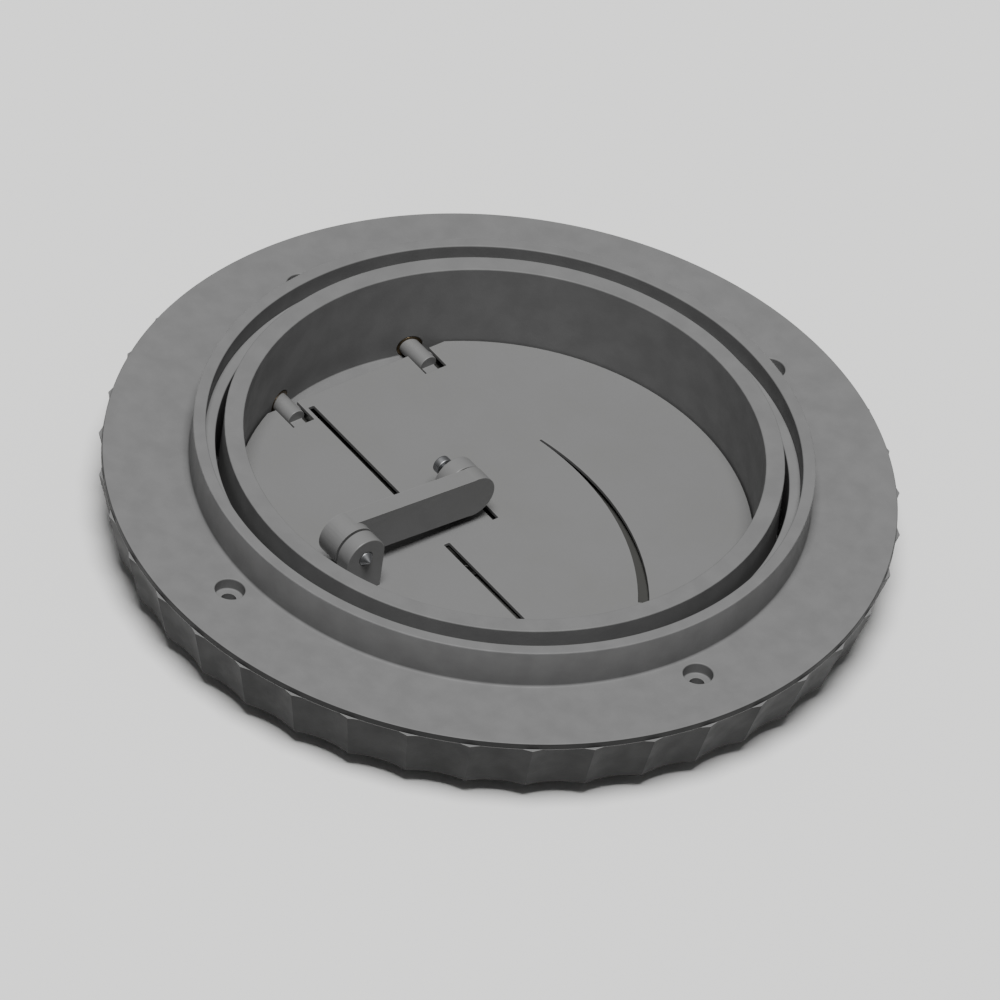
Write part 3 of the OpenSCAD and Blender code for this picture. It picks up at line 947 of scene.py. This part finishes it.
def add_light(name, kind, direction, energy, **settings):
    """A light that shines at the origin from a direction."""
    light = bpy.data.lights.new(name, kind)
    light.energy = energy
    for key, value in settings.items():
        setattr(light, key, value)
    lamp = bpy.data.objects.new(name, light)
    bpy.context.scene.collection.objects.link(lamp)
    lamp.location = direction * CAMERA_DISTANCE
    lamp.rotation_euler = direction.to_track_quat("Z", "Y").to_euler()


class MANHOLE_OT_stage(bpy.types.Operator):
    """Pale floor, soft light and the camera"""

    bl_idname = "manhole.stage"
    bl_label = "Stage"
    bl_options = {"REGISTER", "UNDO"}

    def execute(self, context):
        """Lays the floor, hangs the lights and places the camera."""
        level = box("ring_frame")[0][2]
        signs = ((-1, -1), (1, -1), (1, 1), (-1, 1))
        corners = [(x * FLOOR_REACH, y * FLOOR_REACH, level) for x, y in signs]
        mesh = bpy.data.meshes.new("floor")
        mesh.from_pydata(corners, [], [(0, 1, 2, 3)])
        mesh.materials.append(finish("floor"))
        floor = bpy.data.objects.new("floor", mesh)
        bpy.context.scene.collection.objects.link(floor)
        self.light()
        self.camera()
        return {"FINISHED"}

    def light(self):
        """One soft sun high behind the viewer, and a weak, even sky."""
        add_light("key", "SUN", towards(AZIMUTH, SUN_TILT), SUN_STRENGTH, angle=SUN_ANGLE)
        world = bpy.data.worlds.new("studio")
        bpy.context.scene.world = world
        world.use_nodes = True
        sky = world.node_tree.nodes["Background"]
        sky.inputs["Color"].default_value = (1, 1, 1, 1)
        sky.inputs["Strength"].default_value = SKY_STRENGTH

    def camera(self):
        """A parallel camera, turned a little about its own line of sight."""
        back = towards(AZIMUTH, ELEVATION)
        right = Vector((math.cos(AZIMUTH), math.sin(AZIMUTH), 0))
        up = back.cross(right)
        rolled_right = math.cos(ROLL) * right + math.sin(ROLL) * up
        rolled_up = back.cross(rolled_right)
        lens = bpy.data.cameras.new("camera")
        lens.type = "ORTHO"
        lens.ortho_scale = VIEW_WIDTH
        lens.clip_end = CAMERA_REACH
        camera = bpy.data.objects.new("camera", lens)
        bpy.context.scene.collection.objects.link(camera)
        turn = Matrix((rolled_right, rolled_up, back)).transposed().to_4x4()
        place = Matrix.Translation(back * CAMERA_DISTANCE - rolled_up * TARGET_DROP)
        camera.matrix_world = place @ turn
        bpy.context.scene.camera = camera


# ---------------------------------------------------------------- add-on

PIECES = (
    MANHOLE_OT_stage,
    MANHOLE_OT_ring_frame,
    MANHOLE_OT_liner,
    MANHOLE_OT_pan,
    MANHOLE_OT_deck,
    MANHOLE_OT_ears,
    MANHOLE_OT_pivot,
    MANHOLE_OT_arm,
    MANHOLE_OT_keeper,
    MANHOLE_OT_locks,
)


class MANHOLE_PT_cover(bpy.types.Panel):
    """Sizes, colours and one button for each group of pieces"""

    bl_idname = "MANHOLE_PT_cover"
    bl_label = "Manhole cover"
    bl_space_type = "VIEW_3D"
    bl_region_type = "UI"
    bl_category = "Manhole cover"

    def draw(self, context):
        """Lists the buttons, and then the sizes and colours."""
        for piece in PIECES:
            self.layout.operator(piece.bl_idname)
        for group in (context.scene.manhole_sizes, context.scene.manhole_colours):
            for name in group.__annotations__:
                self.layout.prop(group, name)


CLASSES = (ManholeSizes, ManholeColours, *PIECES, MANHOLE_PT_cover)


def register():
    """Registers the classes and hangs the settings on the scene."""
    for made_class in CLASSES:
        bpy.utils.register_class(made_class)
    bpy.types.Scene.manhole_sizes = bpy.props.PointerProperty(type=ManholeSizes)
    bpy.types.Scene.manhole_colours = bpy.props.PointerProperty(type=ManholeColours)


def unregister():
    """Removes what register added."""
    del bpy.types.Scene.manhole_colours
    del bpy.types.Scene.manhole_sizes
    for made_class in reversed(CLASSES):
        bpy.utils.unregister_class(made_class)


def main():
    """Builds the whole cover."""
    register()
    for piece in PIECES:
        group, name = piece.bl_idname.split(".")
        getattr(getattr(bpy.ops, group), name)()


if __name__ == "__main__":
    main()
